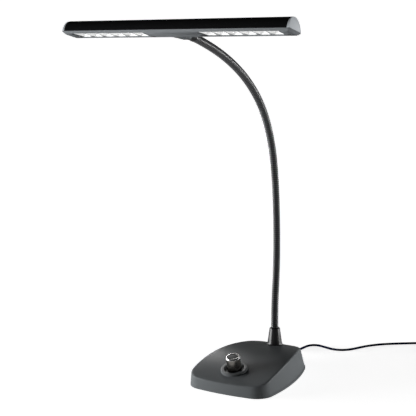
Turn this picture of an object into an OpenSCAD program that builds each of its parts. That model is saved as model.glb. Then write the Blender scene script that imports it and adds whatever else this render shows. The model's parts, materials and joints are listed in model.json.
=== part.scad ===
// Piano lamp: weighted base with a dimmer knob, gooseneck and long twin-window LED head.
// The table is z = 0, the origin lies under the middle of the base, and the front is -Y.

/* [Base] */
// Half width of the base across its front corners
base_front_half = 59.9; // [56:0.1:66]
// Half width of the base across its rear corners
base_rear_half = 43.8; // [41:0.1:50]
// Depth of the base between its corners
base_depth = 163.9; // [155:0.1:178]
// How far the front edge bows out
bow_front = 5.7; // [3:0.1:9]
// How far each side edge bows out
bow_side = 11.2; // [8:0.1:14]
// How far the rear edge bows out
bow_rear = 4.2; // [2:0.1:7]
// Corner radius at the foot of the base, front
corner_front = 25; // [18:0.5:30]
// Corner radius at the foot of the base, rear
corner_rear = 31; // [22:0.5:34]
// How much smaller the corner radii are at the top
corner_loss = 7; // [2:0.5:9]
// Draft of the front wall
draft_nose = 1; // [0.5:0.1:6]
// Draft of the side walls at the front corners
draft_front = 4; // [1:0.1:8]
// Draft of the side walls at the rear corners
draft_rear = 7.9; // [3:0.1:10]
// Draft of the rear wall
draft_back = 5.2; // [2:0.1:8]
// Height of the crown's crest above the table
crest_z = 33.4; // [31:0.1:38]
// Distance of the crest behind the middle of the base
crest_y = 19; // [10:0.5:28]
// Radius of the crown, seen from the side
crown_r = 322; // [280:1:380]
// Wall of the moulded cover
cover_wall = 2.5; // [2:0.1:3.2]
// Gap between the cover's lower edge and the table
cover_gap = 0.6; // [0.3:0.1:1]
// Thickness of the anti-slip pad
pad_t = 1.2; // [1.1:0.1:2]
// Thickness of the steel bottom plate
plate_t = 2; // [1.6:0.1:2.6]
// Thickness of the iron ballast
ballast_t = 12; // [9:0.5:12.5]

/* [Dimmer] */
// Distance of the knob behind the front of the base
knob_inset = 33.9; // [29:0.1:38.9]
// Radius of the knob
knob_r = 9.9; // [9:0.1:11]
// Height of the knob's top above the cover
knob_h = 20.7; // [18:0.1:24]
// Outer radius of the raised ring round the knob
ring_r = 18.7; // [16:0.1:22]
// Radius of the well inside the ring
well_r = 13; // [12:0.1:14]
// Height of the ring above the cover
ring_h = 3; // [2:0.1:4.5]
// Radius of the dimmer's shaft
shaft_r = 3; // [2.5:0.1:3.2]

/* [Neck] */
// Distance of the neck before the rear of the base
neck_inset = 20.4; // [18.9:0.1:26.9]
// Height of the ferrule's top above the table
ferrule_top = 55.5; // [52:0.5:64]
// Radius of the ferrule's top
ferrule_r = 7.6; // [6.8:0.1:9]
// Radius of the ferrule's flared foot
ferrule_foot_r = 12.3; // [11.5:0.1:13.5]
// Outer radius of the gooseneck over its ribs
neck_r = 5; // [4.8:0.05:5.2]
// Depth of the grooves between the ribs
groove = 0.5; // [0.3:0.05:0.6]
// Length of one bending stretch of the gooseneck
link_len = 59.9; // [50:0.1:66]
// Ribs on one stretch
link_ribs = 19; // [12:1:19]

/* [Head] */
// Length of the lamp head
head_len = 316; // [306:1:340]
// Radius of the half-round housing
head_r = 15.25; // [14.8:0.05:16.5]
// Wall of the half-round housing
head_wall = 1.6; // [1.3:0.1:1.8]
// Depth of the panel under the housing
panel_h = 3.9; // [3.5:0.1:4.4]
// Wall of the panel
panel_wall = 1.4; // [1.1:0.1:1.6]
// How far the head turns its underside to the front
head_tilt = 12.3; // [4:0.1:20]
// Thickness of the end caps
cap_t = 3; // [2.5:0.1:4]
// Distance from the middle of the head to the near end of each window
window_in = 38; // [38:0.5:46]
// Distance from the far end of each window to the end of the head
window_margin = 14; // [13:0.5:28]
// Number of lamps behind each window
lamps = 6; // [4:1:6]

/* [Cord] */
// Diameter of the supply lead
cord_d = 3.5; // [3:0.1:3.5]
// Height of the lead's exit above the table
gland_z = 9; // [9:0.1:10.5]

/* [Hidden] */
$fn = 64;

// Clearances: clamped or pressed together, turning, and only lying near
fit = 0.05;
run_fit = 0.06;
loose = 0.3;
eps = 0.01;

// ---- Base ----
base_long = base_depth + bow_front + bow_rear;
knob_front = base_long / 2 - knob_inset;
neck_back = base_long / 2 - neck_inset;
foot_front = bow_front - base_long / 2;
foot_rear = base_long / 2 - bow_rear;
plate_z = pad_t;
ballast_z = plate_z + plate_t;
ballast_floor = 3.5;
screw_r = 1.7;
screw_len = 14;
boss_r = 4.5;
screw_in_front = [15, 21];
screw_in_rear = [12, 17];
screw_places = [for (side = [-1, 1]) each [
    [side * (base_front_half - screw_in_front.x), foot_front + screw_in_front.y],
    [side * (base_rear_half - screw_in_rear.x), foot_rear - screw_in_rear.y]]];

function crown_z(y) = crest_z - crown_r + sqrt(pow(crown_r, 2) - pow(y - crest_y, 2));
function crown_lean(y) = asin((crest_y - y) / crown_r);

// Points along an arc from p towards q that bows out to the right by sag
function bowed(p, q, sag, steps = 8) =
    let (chord = norm(q - p), along = (q - p) / chord, out = [along.y, -along.x])
    let (r = (chord * chord / 4 + sag * sag) / (2 * sag), half = asin(chord / 2 / r))
    [for (k = [0 : steps - 1]) let (a = half * (2 * k / steps - 1))
        (p + q) / 2 + out * (r * cos(a) - r + sag) + along * r * sin(a)];

// Rounded trapezium with bowed edges
module base_outline(half_front, half_rear, front, rear, r_front, r_rear) {
    a = [-half_front, front];
    b = [half_front, front];
    c = [half_rear, rear];
    d = [-half_rear, rear];
    edge = concat(bowed(a, b, bow_front), bowed(b, c, bow_side),
        bowed(c, d, bow_rear), bowed(d, a, bow_side));
    for (part = [[-base_long, r_front], [-eps, r_rear]])
        intersection() {
            offset(r = part[1], $fn = 48) offset(delta = -part[1]) polygon(edge);
            translate([-base_long, part[0]]) square([2 * base_long, base_long]);
        }
}

module crown(r) {
    translate([0, crest_y, crest_z - crown_r])
        rotate([0, 90, 0]) cylinder(r = r, h = 2 * base_long, center = true, $fn = 360);
}

// Room between the table and the crown, with its walls moved in by inset
module base_form(inset) {
    intersection() {
        hull() {
            linear_extrude(eps) offset(delta = -inset)
                base_outline(base_front_half, base_rear_half, foot_front, foot_rear,
                    corner_front, corner_rear);
            translate([0, 0, crest_z]) linear_extrude(eps) offset(delta = -inset)
                base_outline(base_front_half - draft_front, base_rear_half - draft_rear,
                    foot_front + draft_nose, foot_rear - draft_back,
                    corner_front - corner_loss, corner_rear - corner_loss);
        }
        crown(crown_r - inset);
    }
}

module slab(z0, z1) {
    translate([-base_long, -base_long, z0]) cube([2 * base_long, 2 * base_long, z1 - z0]);
}

module at_screws() {
    for (place = screw_places) translate(place) children();
}

module at_knob() {
    translate([0, -knob_front, crown_z(-knob_front)])
        rotate([crown_lean(-knob_front), 0, 0]) children();
}

// Heights along the knob's axis, from the crown
ring_seat = -1;
well_floor = 0.4;
pot_seat = -cover_wall - 1.1;
pot_r = 8;
pot_h = 7;
bush_r = shaft_r + 0.8;
nut_h = 2;
nut_flats = 2 * bush_r + 2.6;
bush_top = well_floor + nut_h + 0.6;
board_t = 1.6;
board_size = [42, 34];
board_edge = 1;
block_size = [10, 8, 6];
knob_foot = well_floor + 0.7;
knob_hollow = bush_top + 1;
knob_bore_top = knob_h - 5;
shaft_foot = pot_seat - pot_h + 1;
knob_wall = 1.9;
knob_flat = 0.5;
cap_r = knob_r - 2.2;
cap_recess = 1.2;
cap_drop = 0.4;

// Heights at the neck's foot
ferrule_seat = crown_z(neck_back + ferrule_foot_r) - 0.2;
neck_pad = ferrule_seat - 3.1;
neck_pad_r = ferrule_foot_r + 2.5;
stud_r = 5;
stud_bore = 3;
stud_nut_h = 3.2;
stud_foot = neck_pad - stud_nut_h - 2;
stud_top = ferrule_seat + 10;
spigot_r = neck_r - groove - 0.6;
spigot_len = 12;
neck_lead_d = 2.8;

// The lead's way out through the rear wall
gland_y = foot_rear + bow_rear - draft_back * gland_z / crest_z;
gland_hole_r = 4;
gland_flange = 5.5;
gland_flange_t = 1.9;
gland_in = 5.6;
gland_out = 22;
gland_tip_r = cord_d / 2 + 0.7;
gland_room = 4;

module at_gland() {
    translate([0, gland_y, gland_z]) rotate([-90, 0, 0]) children();
}

module base_cover() {
    color("dimgray") difference() {
        union() {
            difference() {
                base_form(0);
                base_form(cover_wall);
            }
            intersection() {
                base_form(cover_wall - eps);
                union() {
                    at_screws() translate([0, 0, ballast_z]) cylinder(r = boss_r, h = crest_z);
                    translate([0, neck_back, neck_pad]) cylinder(r = neck_pad_r, h = crest_z);
                    at_knob() translate([0, 0, pot_seat])
                        cylinder(r = pot_r + 1, h = cover_wall + 1);
                }
            }
        }
        slab(-1, cover_gap);
        at_screws() cylinder(r = screw_r + fit, h = ballast_z + screw_len);
        at_knob() {
            translate([0, 0, ring_seat]) cylinder(r = ring_r + fit, h = 5);
            translate([0, 0, -2 * pot_r]) cylinder(r = bush_r + fit, h = 3 * pot_r);
        }
        translate([0, neck_back, 0]) {
            translate([0, 0, ferrule_seat]) cylinder(r = ferrule_foot_r + fit, h = crest_z);
            cylinder(r = stud_r + fit, h = crest_z);
        }
        at_gland() translate([0, 0, -2 * gland_in]) cylinder(r = gland_hole_r, h = 4 * gland_in);
    }
}

// Room in the ballast for the dimmer and the leads
module wiring_room(floor_z) {
    pocket = [board_size.x + 6, board_size.y + 12];
    pocket_back = 3;
    channel = 2 * gland_flange + gland_room;
    translate([-pocket.x / 2, pocket_back - knob_front - pocket.y / 2, floor_z])
        cube([pocket.x, pocket.y, crest_z]);
    translate([-channel / 2, -knob_front, floor_z])
        cube([channel, base_long, crest_z]);
}

module base_weight() {
    color("darkslategray") difference() {
        intersection() {
            base_form(cover_wall + 3 * loose);
            slab(ballast_z, ballast_z + ballast_t);
        }
        wiring_room(ballast_z + ballast_floor);
        translate([-gland_flange - 1, gland_y - gland_in - gland_room, 0])
            cube([2 * gland_flange + 2, base_long, crest_z]);
        at_screws() cylinder(r = boss_r + loose, h = crest_z);
    }
}

module bottom_plate() {
    color("silver") difference() {
        intersection() {
            base_form(cover_wall + loose);
            slab(plate_z, plate_z + plate_t);
        }
        at_screws() translate([0, 0, plate_z - eps]) screw_form(fit);
    }
}

module anti_slip_pad() {
    pad_in = 3.5;
    color("black") difference() {
        intersection() {
            base_form(cover_wall + pad_in);
            slab(0, pad_t);
        }
        at_screws() translate([0, 0, -1]) cylinder(r = 2 * screw_r + 0.8, h = pad_t + 2);
    }
}

// Countersunk screw, head down, its head as deep as the plate allows
module screw_form(grow) {
    head_h = screw_r;
    cylinder(r1 = 2 * screw_r + grow, r2 = screw_r + grow, h = head_h);
    cylinder(r = screw_r + grow, h = screw_len);
}

module bottom_screws() {
    slot = [3.2, 0.7, 1];
    color("silver") at_screws() translate([0, 0, plate_z]) difference() {
        screw_form(0);
        for (turn = [0, 90]) rotate(turn)
            translate([-slot.x / 2, -slot.y / 2, -eps]) cube(slot);
    }
}

// ---- Dimmer ----
module dimmer_bezel() {
    lip = 1.2;
    well_top_r = well_r + 0.6;
    color("dimgray") at_knob() difference() {
        rotate_extrude() {
            polygon([[0, ring_seat], [ring_r, ring_seat], [ring_r, ring_h - lip],
                [ring_r - lip, ring_h - lip], [ring_r - lip, ring_h], [well_top_r + lip, ring_h],
                [well_top_r + lip, ring_h - lip], [well_top_r, ring_h - lip],
                [well_r, well_floor], [0, well_floor]]);
            for (r = [ring_r - lip, well_top_r + lip])
                translate([r, ring_h - lip]) circle(r = lip);
        }
        translate([0, 0, -5]) cylinder(r = bush_r + fit, h = 20);
    }
}

module dimmer_pot() {
    color("silver") at_knob() difference() {
        union() {
            translate([0, 0, pot_seat - pot_h]) cylinder(r = pot_r, h = pot_h);
            translate([0, 0, pot_seat - 1]) cylinder(r = bush_r, h = bush_top - pot_seat + 1);
        }
        translate([0, 0, shaft_foot - loose])
            cylinder(r = shaft_r + run_fit, h = knob_h + pot_h);
    }
}

module dimmer_nut() {
    color("silver") at_knob() translate([0, 0, well_floor]) difference() {
        cylinder(d = nut_flats / cos(30), h = nut_h, $fn = 6);
        translate([0, 0, -1]) cylinder(r = bush_r + fit, h = nut_h + 2);
    }
}

// The driver board hangs on the dimmer's pins, with the terminal block below it
module dimmer_board() {
    top = pot_seat - pot_h;
    block_at = board_size.y / 2 - block_size.y - board_edge;
    can_at = [14, -6];
    can_r = 3.5;
    can_h = 5;
    color("seagreen") at_knob() {
        translate([-board_size.x / 2, -board_size.y / 2, top - board_t])
            cube([board_size.x, board_size.y, board_t]);
        translate([-block_size.x / 2, block_at, top - board_t - block_size.z]) cube(block_size);
        for (side = [-1, 1])
            translate([side * can_at.x, can_at.y, top - eps]) cylinder(r = can_r, h = can_h);
    }
}

module dimmer_shaft() {
    top = knob_bore_top - 0.5;
    color("silver") at_knob() difference() {
        translate([0, 0, shaft_foot]) cylinder(r = shaft_r, h = top - shaft_foot);
        translate([shaft_r - knob_flat, -shaft_r, knob_hollow])
            cube([shaft_r, 2 * shaft_r, knob_h]);
    }
}

// Turned knob with a straight skirt, a chamfered rim and a recess for its cap
module dimmer_knob() {
    rim = 0.9;
    foot_edge = 0.3;
    inner_r = knob_r - knob_wall;
    color("gray") at_knob() difference() {
        rotate_extrude(convexity = 4)
            polygon([[0, knob_hollow], [inner_r, knob_hollow], [inner_r, knob_foot],
                [knob_r - foot_edge, knob_foot], [knob_r, knob_foot + foot_edge],
                [knob_r, knob_h - rim], [knob_r - rim, knob_h], [cap_r + fit, knob_h],
                [cap_r + fit, knob_h - cap_recess], [0, knob_h - cap_recess]]);
        intersection() {
            translate([0, 0, knob_foot])
                cylinder(r = shaft_r + fit, h = knob_bore_top - knob_foot);
            translate([fit - knob_flat - knob_r, -knob_r, 0])
                cube([knob_r + shaft_r, 2 * knob_r, knob_h]);
        }
    }
}

module knob_cap() {
    color("dimgray") at_knob() translate([0, 0, knob_h - cap_recess])
        cylinder(r = cap_r, h = cap_recess - cap_drop);
}

// ---- Foot of the neck ----
module neck_ferrule() {
    band_top = ferrule_seat + 2.2;
    shoulder = [0.7, 0.9];
    cone_foot = [1.6, 2.4];
    top_edge = [0.6, 1];
    color("dimgray") translate([0, neck_back, 0]) difference() {
        rotate_extrude()
            polygon([[0, ferrule_seat], [ferrule_foot_r, ferrule_seat],
                [ferrule_foot_r, band_top], [ferrule_foot_r - shoulder.x, band_top + shoulder.y],
                [ferrule_foot_r - cone_foot.x, band_top + cone_foot.y],
                [ferrule_r, ferrule_top - top_edge.y], [ferrule_r - top_edge.x, ferrule_top],
                [0, ferrule_top]]);
        translate([0, 0, ferrule_seat - 1]) cylinder(r = stud_r + fit, h = stud_top - ferrule_seat + 2);
        translate([0, 0, ferrule_seat]) cylinder(r = spigot_r + fit, h = crest_z);
    }
}

module neck_stud() {
    color("silver") translate([0, neck_back, stud_foot]) difference() {
        cylinder(r = stud_r, h = stud_top - stud_foot);
        translate([0, 0, -1]) cylinder(r = stud_bore, h = stud_top - stud_foot + 2);
    }
}

module neck_nut() {
    corner_r = stud_r + 4.5;
    color("silver") translate([0, neck_back, neck_pad - stud_nut_h]) difference() {
        cylinder(r = corner_r, h = stud_nut_h, $fn = 6);
        translate([0, 0, -1]) cylinder(r = stud_r + fit, h = stud_nut_h + 2);
    }
}

// Grommet with a groove for the wall, and a tapered relief outside
module cable_gland() {
    neck = gland_hole_r - fit;
    groove_from = gland_flange_t - gland_in;
    groove_to = 1;
    flange_top = 2.4;
    relief = [gland_flange - 1.2, 3.2];
    color("black") at_gland() rotate_extrude()
        polygon([[0, -gland_in], [gland_flange, -gland_in], [gland_flange, groove_from],
            [neck, groove_from], [neck, groove_to], [gland_flange, groove_to],
            [gland_flange, flange_top], relief, [gland_tip_r, gland_out], [0, gland_out]]);
}

// ---- Tubes swept along a path ----
function unit(v) = v / norm(v);

// Ring of points round p, square to the direction d, with s across it
function ring(p, d, s, r, sides) = [for (k = [0 : sides - 1]) let (a = 360 * k / sides)
    p + r * (cos(a) * s + sin(a) * cross(d, s))];

// Closed skin over a row of rings, all of triangles
module skin(rings, sides) {
    last = (len(rings) - 1) * sides;
    walls = [for (i = [0 : len(rings) - 2], k = [0 : sides - 1])
        let (a = i * sides + k, b = i * sides + (k + 1) % sides)
        each [[a, a + sides, b], [b, a + sides, b + sides]]];
    caps = [for (k = [1 : sides - 2]) each [[0, k, k + 1], [last, last + k + 1, last + k]]];
    polyhedron([for (row = rings) each row], concat(walls, caps), convexity = 10);
}

// Smooth curve through points: each gap is cut into steps
function smooth(p, steps) = concat([for (i = [0 : len(p) - 2], k = [0 : steps - 1])
    let (a = p[max(i - 1, 0)], b = p[i], c = p[i + 1], d = p[min(i + 2, len(p) - 1)], u = k / steps)
    b + u * (c - a) / 2 + u * u * (a - 2.5 * b + 2 * c - d / 2)
        + u * u * u * (1.5 * b - a / 2 - 1.5 * c + d / 2)], [p[len(p) - 1]]);

function path_dir(p, i) = unit(p[min(i + 1, len(p) - 1)] - p[max(i - 1, 0)]);

// Round tube along a path that never stands upright
module lead(p, d, sides) {
    skin([for (i = [0 : len(p) - 1]) let (along = path_dir(p, i))
        ring(p[i], along, unit(cross(along, [0, 0, 1])), d / 2, sides)], sides);
}

// Round tube along a path in the lamp's middle plane
module middle_lead(p, d, sides) {
    skin([for (i = [0 : len(p) - 1]) ring(p[i], path_dir(p, i), [1, 0, 0], d / 2, sides)], sides);
}

// The leads inside the base both end at the driver board's terminal block
block_y = (board_size.y / 2 - board_edge) * cos(crown_lean(-knob_front)) - knob_front;
module inner_lead() {
    start = [0, gland_y - gland_in, gland_z];
    color("black") middle_lead([start, start - [0, 6, 0], [0, 40, gland_z],
        [0, 0, gland_z + 0.5], [0, block_y + 12, gland_z + 3.5],
        [0, block_y + 5.2, gland_z + 4.5]], cord_d, 8);
}

module neck_lead() {
    color("black") middle_lead(smooth([[0, block_y + 5.2, gland_z + 9.6],
        [0, block_y + 14, gland_z + 8.6], [0, 30, gland_z + 5],
        [0, neck_back - 15, gland_z + 5.2], [0, neck_back - 5, gland_z + 8.5],
        [0, neck_back, stud_foot - 1], [0, neck_back, stud_foot + 7],
        [0, neck_back, ferrule_top - spigot_len]], 3), neck_lead_d, 8);
}

// ---- Gooseneck ----
// Bend of each stretch, forward from upright; the arm runs in the lamp's middle plane
link_bend = [-6.5, 6, 4, 6.5, 17.5, 20.5, 13.5, 8.6, 4.5];
links = len(link_bend);
link_gap = 2.2;
ball_r = 3.2;
ball_fit = 0.08;
wire_r = 2;
straight = 2 * neck_r;

function lean_dir(a) = [0, -sin(a), cos(a)];
function bend_before(i) = i == 0 ? 0 : bend_before(i - 1) + link_bend[i - 1];
function run_in(i) = i == 0 ? straight : 0;
function run_out(i) = i == links - 1 ? straight : 0;
function arc_len(i) = link_len - run_in(i) - run_out(i);
function arc_shift(u, a, b) = let (half = (b - a) / 2)
    lean_dir(a + half) * (abs(half) < 0.001 ? u : u * sin(half) / (half * PI / 180));

// Lean and place at the distance s along stretch i
function link_lean(i, s) =
    bend_before(i) + link_bend[i] * min(max(s - run_in(i), 0), arc_len(i)) / arc_len(i);
function link_place(i, s) = link_foot(i) + lean_dir(bend_before(i)) * min(s, run_in(i))
    + arc_shift(min(max(s - run_in(i), 0), arc_len(i)), bend_before(i), link_lean(i, s))
    + lean_dir(bend_before(i + 1)) * max(s - run_in(i) - arc_len(i), 0);
function link_foot(i) = i == 0 ? [0, neck_back, ferrule_top] : link_place(i - 1, link_len);

// Where each pivot lies, its lean, and the axis on which it turns
pivots = [for (i = [1 : links - 1]) link_foot(i)];
pivot_leans = [for (i = [1 : links - 1]) bend_before(i)];

module at_lean(place, lean) {
    translate(place) rotate([lean, 0, 0]) children();
}

// Lead bore of one stretch: straight runs and an arc between them
module wire_bore(i) {
    lean = bend_before(i);
    bend = link_bend[i];
    r = arc_len(i) / (abs(bend) * PI / 180);
    at_lean(link_foot(i), lean) {
        translate([0, 0, -spigot_len - 1])
            cylinder(r = wire_r, h = spigot_len + 1 + run_in(i) + eps);
        translate([0, bend > 0 ? -r : r, run_in(i)]) rotate([0, -90, 0])
            rotate(bend > 0 ? 0 : 180 - abs(bend))
                rotate_extrude(angle = abs(bend)) translate([r, 0]) circle(r = wire_r);
    }
    at_lean(link_place(i, link_len - run_out(i) - eps), lean + bend)
        cylinder(r = wire_r, h = run_out(i) + 2 * ball_r);
}

// One stretch: ribs of eight sides, a ball at its top and a cup at its foot
module neck_link(i) {
    low = i == 0 ? 0 : link_gap / 2;
    high = i == links - 1 ? link_len : link_len - link_gap / 2;
    rows = 2 * link_ribs;
    color("black") difference() {
        union() {
            skin([for (k = [0 : rows]) let (s = low + (high - low) * k / rows)
                ring(link_place(i, s), lean_dir(link_lean(i, s)), [1, 0, 0],
                    k % 2 == 0 ? neck_r - groove : neck_r, 8)], 8);
            if (i < links - 1) translate(link_foot(i + 1)) sphere(r = ball_r);
            if (i == 0)
                translate(link_foot(0) - [0, 0, spigot_len])
                    cylinder(r = spigot_r, h = spigot_len + 1);
        }
        if (i > 0) translate(link_foot(i)) sphere(r = ball_r + ball_fit);
        wire_bore(i);
    }
}

// ---- Head ----
neck_end = link_place(links - 1, link_len);
neck_end_lean = bend_before(links);
join_back = 38.8;
join_up = 2.9;
head_origin = neck_end - join_back * [0, cos(head_tilt), -sin(head_tilt)]
    - join_up * [0, sin(head_tilt), cos(head_tilt)];

module at_neck_end() {
    at_lean(neck_end, neck_end_lean) children();
}

// In the head, x runs along it, y to its rear and z up; the housing's flat side is z = 0
module at_head() {
    translate(head_origin) rotate([-head_tilt, 0, 0]) children();
}

module along_head(from, to) {
    translate([from, 0, 0]) rotate([90, 0, 90]) linear_extrude(to - from) children();
}

// Both halves of a piece pair: side is -1 for left and 1 for right
module on_side(side) {
    mirror([side < 0 ? 1 : 0, 0, 0]) children();
}

shell_end = head_len / 2 - cap_t;
shell_in_r = head_r - head_wall;
web_z = 5;
web_t = 1.6;
led_board_t = 1.2;
board_z = web_z - led_board_t;
board_half = 7;
edge_r = 6.5;
edge_z = edge_r - panel_h;
edge_y = head_r - fit - sqrt(pow(edge_r, 2) - pow(edge_z, 2));
window_out = head_len / 2 - window_margin;
window_front = 12.3;
window_rear = 8.5;
sleeve_r = neck_r + 0.65;
sleeve_in = 3.5;
socket_start = 5.8;
sleeve_end = socket_start + 0.5;
fitting_end = 20;
fitting_r = 4;
socket_screw_x = 6.6;
socket_screw_z = 3;
socket_screw_r = 1.5;
socket_screw_seat = shell_in_r - 0.4;
socket_screw_end = head_r + 4;
panel_screw_r = 1.2;
end_screw = [5.5, 3];
window_screw = [3, 5];
panel_screws_at = [for (side = [-1, 1]) each [
    [side * (shell_end - end_screw.x), end_screw.y],
    [side * (window_in - window_screw.x), window_screw.y]]];
cell = (window_out - window_in) / lamps;

module upper_half(r) {
    intersection() {
        circle(r = r);
        translate([-2 * r, 0]) square([4 * r, 2 * r]);
    }
}

// Section of the panel's tray: a flat floor between two rounded edges
module tray_section(wall) {
    intersection() {
        union() {
            for (side = [-1, 1]) translate([side * edge_y, edge_z]) circle(r = edge_r - wall);
            translate([-edge_y, wall - panel_h]) square([2 * edge_y, edge_r]);
        }
        translate([-2 * head_r, -2 * head_r]) square([4 * head_r, 2 * head_r]);
    }
}

module head_shell() {
    web_end = shell_end - 3.5;
    lip = [2.6, 1.4];
    wire_slot = [28, 8, web_t + 2];
    wire_slot_y = 3;
    wire_hole_y = 5;
    color("#202124") at_head() difference() {
        union() {
            along_head(-shell_end, shell_end) difference() {
                upper_half(head_r);
                circle(r = shell_in_r);
            }
            along_head(-web_end, web_end) intersection() {
                upper_half(head_r - head_wall / 2);
                union() {
                    translate([-head_r, web_z]) square([2 * head_r, web_t]);
                    for (side = [-1, 1])
                        translate([side * (shell_in_r + 0.2) - lip.x / 2, 0]) square(lip);
                }
            }
        }
        for (place = panel_screws_at) translate(place) cylinder(r = panel_screw_r + fit, h = web_z + 3);
        for (side = [-1, 1])
            translate([side * socket_screw_x, 0, socket_screw_z]) rotate([-90, 0, 0]) {
                cylinder(r = socket_screw_r + fit, h = 2 * head_r);
                cylinder(r = 2 * socket_screw_r + 3 * fit, h = socket_screw_seat);
            }
        translate([-wire_slot.x / 2, wire_slot_y, web_z - 1]) cube(wire_slot);
        translate([0, wire_hole_y, socket_screw_z]) rotate([-90, 0, 0])
            cylinder(r = wire_r, h = head_r);
    }
}

module head_panel() {
    end_x = head_len / 2;
    end_z = -0.8;
    end_in = 3.5;
    over = 1;
    over_in = end_in * (panel_h + over + end_z) / (panel_h + end_z);
    color("gray") at_head() difference() {
        along_head(-end_x, end_x) tray_section(0);
        along_head(1 - shell_end, shell_end - 1) tray_section(panel_wall);
        for (side = [-1, 1]) on_side(side) {
            translate([window_in, -window_front, -head_r])
                cube([window_out - window_in, window_front + window_rear, head_r]);
            rotate([90, 0, 0]) linear_extrude(3 * head_r, center = true)
                polygon([[end_x, end_z], [end_x + over, end_z],
                    [end_x + over, -panel_h - over], [end_x - over_in, -panel_h - over]]);
        }
        for (place = panel_screws_at)
            translate([place.x, place.y, -2 * panel_h]) cylinder(r = panel_screw_r + fit, h = 2 * panel_h);
    }
}

module panel_screws() {
    head_t = 0.6;
    slot = [2.4, 0.5, 0.4];
    screw_top = web_z + web_t + 0.5;
    color("silver") at_head() for (place = panel_screws_at)
        translate([place.x, place.y, -panel_h]) {
            difference() {
                translate([0, 0, -head_t]) cylinder(r = 2 * panel_screw_r, h = head_t);
                for (turn = [20, 110]) rotate(turn)
                    translate([-slot.x / 2, -slot.y / 2, -head_t - eps]) cube(slot);
            }
            cylinder(r = panel_screw_r, h = panel_h + screw_top);
        }
}

// D-shaped cap, its face leaning in towards the top, with a spigot inside the housing
module end_cap(side) {
    lean = 6;
    spigot = 2.8;
    spigot_wall = 1.6;
    color("silver") at_head() on_side(side) {
        difference() {
            along_head(shell_end, shell_end + 2 * cap_t) upper_half(head_r);
            translate([head_len / 2, -2 * head_r, 0]) rotate([0, -lean, 0])
                translate([0, 0, -head_r]) cube([head_r, 4 * head_r, 4 * head_r]);
        }
        along_head(shell_end - spigot, shell_end + eps) intersection() {
            difference() {
                circle(r = shell_in_r - fit);
                circle(r = shell_in_r - spigot_wall);
            }
            translate([-head_r, spigot_wall]) square([2 * head_r, head_r]);
        }
    }
}

// White trough with a tapered cell for each lamp
module reflector(side) {
    flange = 1.2;
    wall = 1.2;
    seat = 0.15;
    foot = panel_wall - panel_h + seat;
    foot_y = [1.7 - window_front, window_rear];
    top_half = 4.2;
    top_in = 3;
    back_half = top_half + 1.8;
    front = [0.5 - window_front, -1];
    front_edge = [0.8 - window_front, -1.6];
    color("white") at_head() on_side(side) difference() {
        along_head(window_in - flange, window_out + flange)
            polygon([[edge_y + 4 * seat, foot], [back_half, board_z], [-back_half, board_z],
                front, front_edge, [-edge_y - 2 * seat, foot]]);
        for (k = [0 : lamps - 1]) translate([window_in + cell * (k + 0.5), 0, 0]) hull() {
            translate([wall / 2 - cell / 2, foot_y[0], foot - 0.2])
                cube([cell - wall, foot_y[1] - foot_y[0], eps]);
            translate([top_in - cell / 2, -top_half, board_z + 0.1])
                cube([cell - 2 * top_in, 2 * top_half, eps]);
        }
    }
}

module led_board(side) {
    color("whitesmoke") at_head() on_side(side) translate([window_in, -board_half, board_z])
        cube([window_out - window_in, 2 * board_half, led_board_t]);
}

module leds(side) {
    size = 5;
    body_t = 0.6;
    lens_r = 1.9;
    lens_t = 0.5;
    color("gold") at_head() on_side(side) for (k = [0 : lamps - 1])
        translate([window_in + cell * (k + 0.5), 0, board_z - body_t]) {
            translate([-size / 2, -size / 2, 0]) cube([size, size, body_t]);
            translate([0, 0, -lens_t]) cylinder(r1 = lens_r - 0.4, r2 = lens_r, h = lens_t);
        }
}

// ---- Between neck and head ----
module neck_sleeve() {
    color("black") at_neck_end() difference() {
        translate([0, 0, -sleeve_in]) cylinder(r = sleeve_r, h = sleeve_in + sleeve_end);
        translate([0, 0, -sleeve_in - 1]) cylinder(r = neck_r + fit, h = sleeve_in + sleeve_end + 2);
    }
}

module neck_end_fitting() {
    tail = 6;
    bore_r = wire_r - 0.8;
    color("silver") at_neck_end() difference() {
        union() {
            translate([0, 0, -tail]) cylinder(r = wire_r - fit, h = tail + 1);
            cylinder(r = neck_r, h = sleeve_end);
            cylinder(r = fitting_r, h = fitting_end);
        }
        translate([0, 0, -tail - 1]) cylinder(r = bore_r, h = tail + fitting_end + 2);
    }
}

// Socket round the fitting: square at the neck, it widens into a saddle on the housing's rear
module head_socket() {
    end_half = 7.2;
    end_corner = 2.5;
    saddle = 2;
    saddle_foot = [9, 11, saddle - panel_h];
    saddle_top = [9, 9, 8];
    color("gray") difference() {
        hull() {
            at_neck_end() translate([0, 0, socket_start]) linear_extrude(1)
                offset(r = end_corner, $fn = 24)
                    square(2 * (end_half - end_corner), center = true);
            at_head() for (side = [-1, 1], corner = [saddle_foot, saddle_top])
                translate([side * corner.x, corner.y, corner.z])
                    sphere(r = saddle, $fn = 20);
        }
        at_head() along_head(-2 * head_r, 2 * head_r) {
            upper_half(head_r + fit);
            tray_section(-fit);
        }
        at_neck_end() {
            cylinder(r = sleeve_r + fit, h = sleeve_end);
            cylinder(r = fitting_r + fit, h = fitting_end + 0.5);
            cylinder(r = wire_r - 0.5, h = 2 * fitting_end);
        }
        at_head() for (side = [-1, 1])
            translate([side * socket_screw_x, 0, socket_screw_z]) rotate([-90, 0, 0])
                cylinder(r = socket_screw_r + fit, h = socket_screw_end + 0.5);
    }
}

module socket_screws() {
    head_t = 1.6;
    head_from = socket_screw_seat - head_t;
    color("silver") at_head() for (side = [-1, 1])
        translate([side * socket_screw_x, head_from, socket_screw_z]) rotate([-90, 0, 0]) {
            cylinder(r = 2 * socket_screw_r, h = head_t);
            cylinder(r = socket_screw_r, h = socket_screw_end - head_from);
        }
}

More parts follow.
